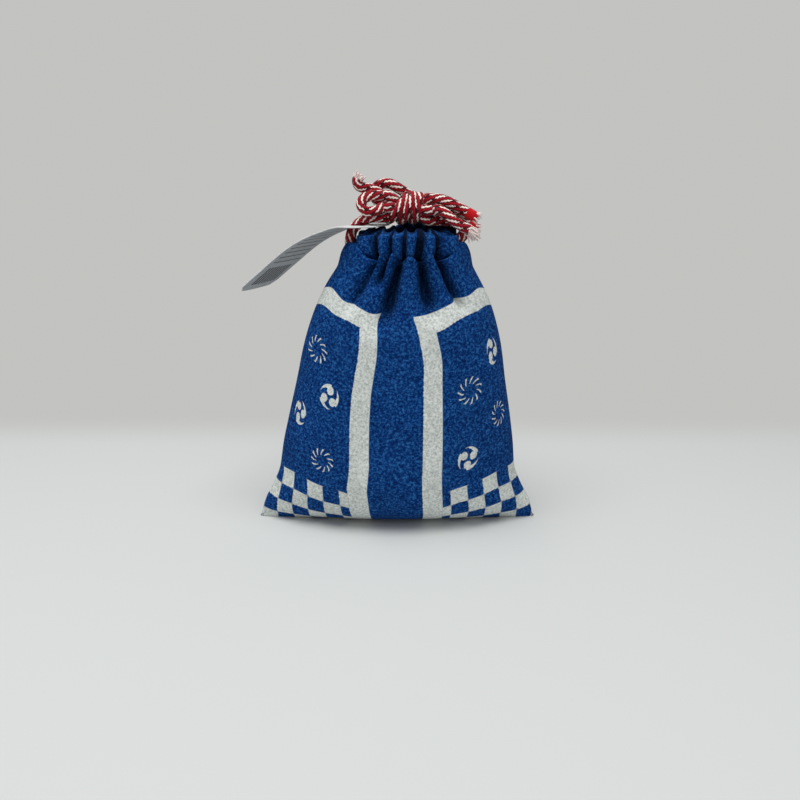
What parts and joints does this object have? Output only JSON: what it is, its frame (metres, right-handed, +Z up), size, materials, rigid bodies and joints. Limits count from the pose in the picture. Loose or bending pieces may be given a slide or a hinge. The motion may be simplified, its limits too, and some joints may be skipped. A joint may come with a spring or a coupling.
{
  "type": "drawstring pouch",
  "caption": "Small gathered cloth pouch, two cord casings round its neck, twin drawcords tied in a bow, and a paper tag on the cord.",
  "frame": {"origin": "middle of the bag's box at the level it stands on, cords and tag left out", "axes": "+X to the right seen from the front, +Y from front to back, +Z up"},
  "size_m": [0.1124, 0.0484, 0.1346],
  "materials": {
    "crepe": "crinkled matte crepe",
    "crepe_inside": "matte",
    "cord": "braided, red and white",
    "frayed_ends": "loose fibres",
    "paper": "smooth card"
  },
  "bodies": {
    "pouch": {"front_panel": "crepe", "back_panel": "crepe", "front_casing": "crepe", "back_casing": "crepe", "side_seam_left": "crepe_inside", "side_seam_right": "crepe_inside", "bottom_seam": "crepe_inside", "drawcord_left": "cord", "drawcord_right": "cord", "knot_core": "cord", "knot_wrap": "cord", "bow_loop_left": "cord", "bow_loop_upper": "cord", "bow_loop_right": "cord", "bow_tail_left": "cord", "bow_tail_upper": "cord", "bow_tail_lower": "cord", "bow_tail_hanging": "cord", "fray_left": "frayed_ends", "fray_upper": "cord", "fray_lower": "frayed_ends", "fray_hanging": "cord"},
    "tag": {"hang_tag": "paper"}
  },
  "joints": [
    {"name": "tag_swivel", "type": "hinge", "parent": "pouch", "child": "tag", "pos_m": [-0.0133, 0, 0.1135], "axis": [0, 0, 1], "range_deg": [-8, 30]}
  ]
}
